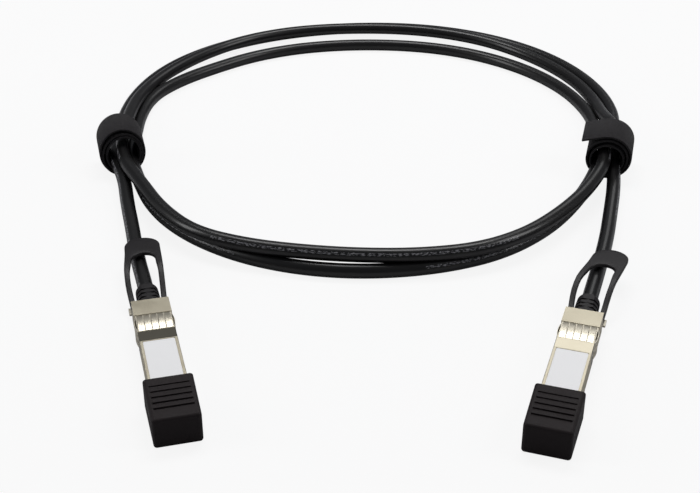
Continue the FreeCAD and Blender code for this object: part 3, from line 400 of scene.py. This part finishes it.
# %% [markdown]
# ### Strap finish
# The strap is charcoal: a napped face of tiny loops that scatters light, a little lighter where
# the pile stands up, with the weave's ribs just showing through it.

# %% Strap
strap = Finish(
    "hook_loop_strap",
    {"Roughness": 0.95, "Sheen Weight": 0.08, "Sheen Roughness": 0.5, "Specular IOR Level": 0.12},
)
pile = strap.noise(2600.0, 4.0, 0.65)
patches = strap.noise(420.0, 3.0)
nap = pile * 0.7 + patches * 0.3
strap.drive("Base Color", strap.blend(nap, (0.006, 0.0055, 0.006), (0.045, 0.042, 0.045)))
strap.bump(pile + 0.6 * patches, 0.0004, 0.7)
for tie in ties.values():
    tie.data.materials.append(strap.material)
print("strap:", len(strap.tree.nodes), "nodes")

# %% [markdown]
# ## Pull tabs
# The pull tabs are soft loops, so neither lies quite straight behind its plug: the right one
# leans well outwards. Each is a ribbon between an outer and an inner line. Its two legs leave the
# latch low beside the boot and rise to the round head that lies over the cable.

# %% Shape of a tab, in millimetres from the plug's rear face
TAB_LEAN = {"left": 1.7, "right": 3.9}
TAB_FOOT = 0.7
TAB_FOOT_RISE = 1.75
TAB_CLIMB = 6.8
TAB_DROOP = 0.7
TAB_THICKNESS = 1.6
TAB_RIM = 0.5


def ease(value, start, end):
    """Goes from 0 to 1 softly while value goes from start to end."""
    share = min(1.0, max(0.0, (value - start) / (end - start)))
    return share * share * (3 - 2 * share)


def tab_spot(back, aside, lean):
    """A point of the ribbon that is this far behind the plug and to its side."""
    rise = TAB_FOOT_RISE + TAB_CLIMB * ease(back, 4.0, 25.0) - TAB_DROOP * ease(back, 34.0, 46.0)
    return Vector((-back, aside + lean * ease(back, 13.0, 42.0), rise))


def tab_line(half_foot, half_middle, arc_back, arc_long, arc_half, squareness):
    """Up one leg, round the end and down the other leg, as (back, aside) pairs."""
    leg = []
    for step in range(13):
        back = TAB_FOOT + (arc_back - TAB_FOOT) * step / 12
        half = half_foot + (half_middle - half_foot) * ease(back, 1, 18)
        half += (arc_half - half_middle) * ease(back, 20, arc_back)
        leg.append((back, half))
    arc = []
    for step in range(1, 24):
        angle = math.pi * step / 24
        long, wide = math.sin(angle), math.cos(angle)
        long = long ** squareness
        wide = math.copysign(abs(wide) ** squareness, wide)
        arc.append((arc_back + arc_long * long, arc_half * wide))
    return leg + arc + [(back, -half) for back, half in reversed(leg)]


outer_line = tab_line(6.7, 7.5, 37.6, 7.4, 6.9, 0.95)
inner_line = tab_line(4.6, 5.4, 27.4, 4.8, 4.7, 0.95)
print("tab lines:", len(outer_line), "points each")

# %% [markdown]
# ### Two tabs
# The ribbon between the two lines is a single sheet, which gets its thickness and its rounded
# edges from modifiers. Each tab rides on its own latch, so it moves when the latch is pulled.

# %% Two tabs
tabs = {}
for side, (plug_x, plug_y, plug_turn) in PLUGS.items():
    place = Matrix.Translation(Vector((plug_x, plug_y, PLUG_LIFT)) * MM)
    place = place @ Matrix.Rotation(math.radians(plug_turn), 4, "Z") @ Matrix.Scale(MM, 4)
    ribbon = bmesh.new()
    rows = []
    for share in (0.0, 0.25, 0.5, 0.75, 1.0):
        row = []
        for (back, aside), (inner_back, inner_aside) in zip(outer_line, inner_line):
            back += (inner_back - back) * share
            aside += (inner_aside - aside) * share
            row.append(ribbon.verts.new(tab_spot(back, aside, TAB_LEAN[side])))
        rows.append(row)
    for row, following in zip(rows, rows[1:]):
        for a, b, c, d in zip(row, row[1:], following[1:], following):
            ribbon.faces.new((a, b, c, d))
    bmesh.ops.recalc_face_normals(ribbon, faces=ribbon.faces)
    bmesh.ops.transform(ribbon, matrix=place, verts=ribbon.verts)
    shape = bpy.data.meshes.new(f"{side}_soft_tab")
    ribbon.to_mesh(shape)
    ribbon.free()
    shape.shade_smooth()
    tab = bpy.data.objects.new(shape.name, shape)
    bpy.context.scene.collection.objects.link(tab)
    wall = tab.modifiers.new("wall", "SOLIDIFY")
    wall.thickness = TAB_THICKNESS * MM
    wall.offset = 0.0
    rim = tab.modifiers.new("rim", "BEVEL")
    rim.width = TAB_RIM * MM
    rim.segments = 3
    rim.limit_method = "ANGLE"
    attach(tab, f"{side}_latch")
    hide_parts(f"{side}_pull_tab")
    tabs[side] = tab
    print(tab.name, len(shape.polygons), "faces before its modifiers")

# %% [markdown]
# ## Finishes of the plugs
# The plug's parts keep their modelled shapes. Each gets the finish of the real one through its
# own material slots.

# %% Giving a part its finish
def dress(part, finish):
    """Puts a finish on the same part of both plugs."""
    for side in SIDES:
        for held in nodes[f"{side}_{part}"].material_slots:
            held.material = finish.material


# %% [markdown]
# ### Cast housing
# The shells are die-cast zinc with a satin nickel plate, which shows a fine grain and broad, faint
# clouds. The band between the shielding collar and the label is polished smooth. It lies at a set
# distance along the plug, so the plug's own direction places it.

# %% Cast housing
BAND_FROM, BAND_TO = 0.0202, 0.0262
BAND_ROUGHNESS = 0.09

for side in SIDES:
    nickel = Finish(f"nickel_plated_zinc_{side}", {"Metallic": 1.0})
    grain = nickel.noise(1900.0, 3.0, 0.6)
    cloud = nickel.noise(110.0, 4.0)
    along = nickel.node("ShaderNodeSeparateXYZ", {}, {0: nickel.along_plug(side)}, output="X")
    polished = (along > BAND_FROM) * (along < BAND_TO)
    nickel.drive("Base Color", nickel.blend(cloud, (0.59, 0.53, 0.40), (0.74, 0.69, 0.55)))
    rough = 0.30 + 0.12 * cloud + 0.06 * grain
    nickel.drive("Roughness", rough - polished * (rough - BAND_ROUGHNESS))
    nickel.bump(grain - grain * polished, 0.00002, 0.5)
    for part in ("lower_shell", "upper_shell"):
        for held in nodes[f"{side}_{part}"].material_slots:
            held.material = nickel.material

# %% [markdown]
# ### Spring metal
# The collar, slider and spring are stamped from rolled sheet, and the screw and ferrule have the
# same bright plate. The rolling draws the surface out one way, so the pattern is squeezed along Y.

# %% Spring metal
spring = Finish("spring_metal", {"Metallic": 1.0, "Base Color": (0.76, 0.71, 0.59, 1)})
rolled = spring.noise(500.0, 3.0, 0.5, spring.place((1, 12, 1)))
spring.drive("Roughness", 0.32 + 0.14 * rolled)
for part in ("emi_collar", "latch_slider", "latch_spring", "shell_screw", "crimp_ferrule"):
    dress(part, spring)

# %% [markdown]
# ### Label film
# The label is white satin film and is left bare. Bright film can look grey under soft light, so a
# very faint painted glow is added to it, which the real film doesn't give off.

# %% Label film
# Painted glow: a faint white emission lifts the label's brightness beyond what the lamps give it.
painted_label_glow = {"Emission Color": (1, 1, 1, 1), "Emission Strength": 0.08}
film = Finish("label_film", {"Specular IOR Level": 0.4, **painted_label_glow})
tone = film.noise(180.0, 3.0)
film.drive("Base Color", film.blend(tone, (0.93, 0.93, 0.94), (0.96, 0.96, 0.97)))
film.drive("Roughness", 0.38 + 0.12 * tone)
dress("label", film)

# %% [markdown]
# ### Cap rubber
# The dust caps are soft moulded rubber: matt and slightly warm, with a pale bloom in patches and
# pores too small to see one by one.

# %% Cap rubber
rubber = Finish("cap_rubber", {"Specular IOR Level": 0.22})
bloom = rubber.noise(140.0, 4.0)
pores = rubber.noise(3800.0, 2.0)
rubber.drive("Base Color", rubber.blend(bloom, (0.012, 0.0085, 0.009), (0.020, 0.0145, 0.0155)))
rubber.drive("Roughness", 0.52 + 0.18 * bloom)
rubber.bump(pores, 0.00005, 0.5)
dress("dust_cap", rubber)

# %% [markdown]
# ### Moulded black plastic
# The boots and tabs come from spark-eroded moulds, which leave a fine even grain. They are a little
# shinier than the caps.

# %% Moulded black plastic
moulded = Finish("moulded_black", {"Specular IOR Level": 0.3})
eroded = moulded.noise(3000.0, 2.0)
worn = moulded.noise(160.0, 3.0)
moulded.drive("Base Color", moulded.blend(worn, (0.011, 0.0095, 0.0105), (0.020, 0.018, 0.0195)))
moulded.drive("Roughness", 0.36 + 0.16 * worn)
moulded.bump(eroded, 0.00004, 0.4)
dress("strain_relief", moulded)
for tab in tabs.values():
    tab.data.materials.append(moulded.material)

# %% [markdown]
# ### Board, chip and wires
# Pads and legs are part of the board's and the chip's own solids, so height tells metal from
# lacquer: the pads stand just above the board, and the lowest part of the chip is its legs.

# %% Circuit board, chip and wires
PADS_ABOVE = 0.005056
LEGS_BELOW = 0.0053

mask = Finish("solder_mask", {})
height = mask.node("ShaderNodeSeparateXYZ", {}, {0: mask.place()}, output="Z")
gold = height > PADS_ABOVE
cells = mask.noise(700.0, 2.0)
green = mask.blend(cells, (0.010, 0.09, 0.035), (0.018, 0.14, 0.05))
gilded = {"Factor": gold, 6: green, 7: (0.83, 0.60, 0.22, 1)}
mask.drive("Base Color", mask.node("ShaderNodeMix", {"data_type": "RGBA"}, gilded, output=2))
mask.drive("Metallic", gold)
mask.drive("Roughness", 0.3 + 0.1 * cells)
dress("circuit_board", mask)

epoxy = Finish("chip_epoxy", {})
low = epoxy.node("ShaderNodeSeparateXYZ", {}, {0: epoxy.place()}, output="Z") < LEGS_BELOW
epoxy.drive("Base Color", epoxy.blend(low, (0.015, 0.015, 0.016), (0.7, 0.7, 0.7)))
epoxy.drive("Metallic", low)
epoxy.drive("Roughness", 0.45 + 0.15 * epoxy.noise(900.0))
dress("memory_chip", epoxy)

foil = Finish("wrapped_foil", {"Metallic": 1.0, "Base Color": (0.80, 0.81, 0.83, 1)})
creases = foil.noise(1200.0, 3.0, 0.6)
foil.drive("Roughness", 0.2 + 0.25 * creases)
foil.bump(creases, 0.0001, 0.6)
dress("twinax_pairs", foil)
print("plug finishes:", len(bpy.data.materials), "materials")

# %% [markdown]
# ## Table and light
# The cable lies on a plain white table in soft studio light. The table shows white to the camera
# but keeps a soft shadow, and metal reflects the same white surroundings.

# %% Table
TABLE_HALF = 4.0
GLOW_STRENGTH = 1.12
GLOW_SHARE = 0.78

table_mesh = bmesh.new()
bmesh.ops.create_grid(table_mesh, x_segments=1, y_segments=1, size=TABLE_HALF)
table_data = bpy.data.meshes.new("table")
table_mesh.to_mesh(table_data)
table_mesh.free()
table = bpy.data.objects.new("table", table_data)
bpy.context.scene.collection.objects.link(table)

table_look = {"Base Color": (0.5, 0.5, 0.51, 1), "Roughness": 0.8, "Specular IOR Level": 0.1}
white = Finish("white_table", table_look)
seen = white.node("ShaderNodeLightPath", output="Is Camera Ray")
glow = white.node("ShaderNodeEmission", {}, {"Color": (1, 1, 1, 1), "Strength": GLOW_STRENGTH})
plain = Field(white, white.shader.outputs[0])
mixed = white.node("ShaderNodeMixShader", {}, {0: seen * GLOW_SHARE, 1: plain, 2: glow})
out = white.tree.nodes["Material Output"]
white.tree.links.new(mixed.socket, out.inputs["Surface"])
table_data.materials.append(white.material)
print("table:", TABLE_HALF * 2, "m across")

# %% [markdown]
# ### Surroundings
# The backdrop is white to the camera and to transmitted rays, while everything else is lit by a
# dim, slightly cool sky. That keeps the black parts black.

# %% Surroundings
AMBIENT = 0.13

world = bpy.data.worlds.new("studio")
bpy.context.scene.world = world
world.use_nodes = True
tree = world.node_tree
tree.nodes.clear()
path = tree.nodes.new("ShaderNodeLightPath")
both = tree.nodes.new("ShaderNodeMath")
both.operation = "MAXIMUM"
tree.links.new(path.outputs["Is Camera Ray"], both.inputs[0])
tree.links.new(path.outputs["Is Transmission Ray"], both.inputs[1])
ambient = tree.nodes.new("ShaderNodeBackground")
ambient.inputs["Color"].default_value = (0.92, 0.94, 1.0, 1)
ambient.inputs["Strength"].default_value = AMBIENT
backdrop = tree.nodes.new("ShaderNodeBackground")
backdrop.inputs["Color"].default_value = (1, 1, 1, 1)
mix = tree.nodes.new("ShaderNodeMixShader")
tree.links.new(both.outputs[0], mix.inputs[0])
tree.links.new(ambient.outputs[0], mix.inputs[1])
tree.links.new(backdrop.outputs[0], mix.inputs[2])
finish_line = tree.nodes.new("ShaderNodeOutputWorld")
tree.links.new(mix.outputs[0], finish_line.inputs[0])
print("surroundings: strength", AMBIENT)

# %% [markdown]
# ### Lamps
# One wide lamp overhead draws the long highlights on the jacket. Two tall ones at the sides shape
# the plugs, and a small one far back on the right lights the tops of the metal parts.

# %% Lamps
LAMPS = {
    "overhead": ((0.0, 0.5, 0.95), (0.8, 0.3), 5.0),
    "left_side": ((-0.95, 0.0, 0.5), (0.3, 0.6), 2.6),
    "right_back": ((0.36, 0.86, 0.58), (0.36, 0.34), 0.44),
    "right_side": ((0.85, 0.0, 0.65), (0.3, 0.55), 2.4),
}
AIM = Vector((0.0, 0.1, 0.0))
for name, (spot, (wide, deep), power) in LAMPS.items():
    lamp = bpy.data.lights.new(name, "AREA")
    lamp.shape = "RECTANGLE"
    lamp.size = wide
    lamp.size_y = deep
    lamp.energy = power
    held = bpy.data.objects.new(name, lamp)
    held.location = spot
    held.rotation_euler = (AIM - Vector(spot)).to_track_quat("-Z", "Y").to_euler()
    bpy.context.scene.collection.objects.link(held)
bpy.context.scene.view_settings.view_transform = "Standard"
print("lamps:", ", ".join(LAMPS))

# %% [markdown]
# ## Last update

# %% Finish
bpy.context.view_layer.update()
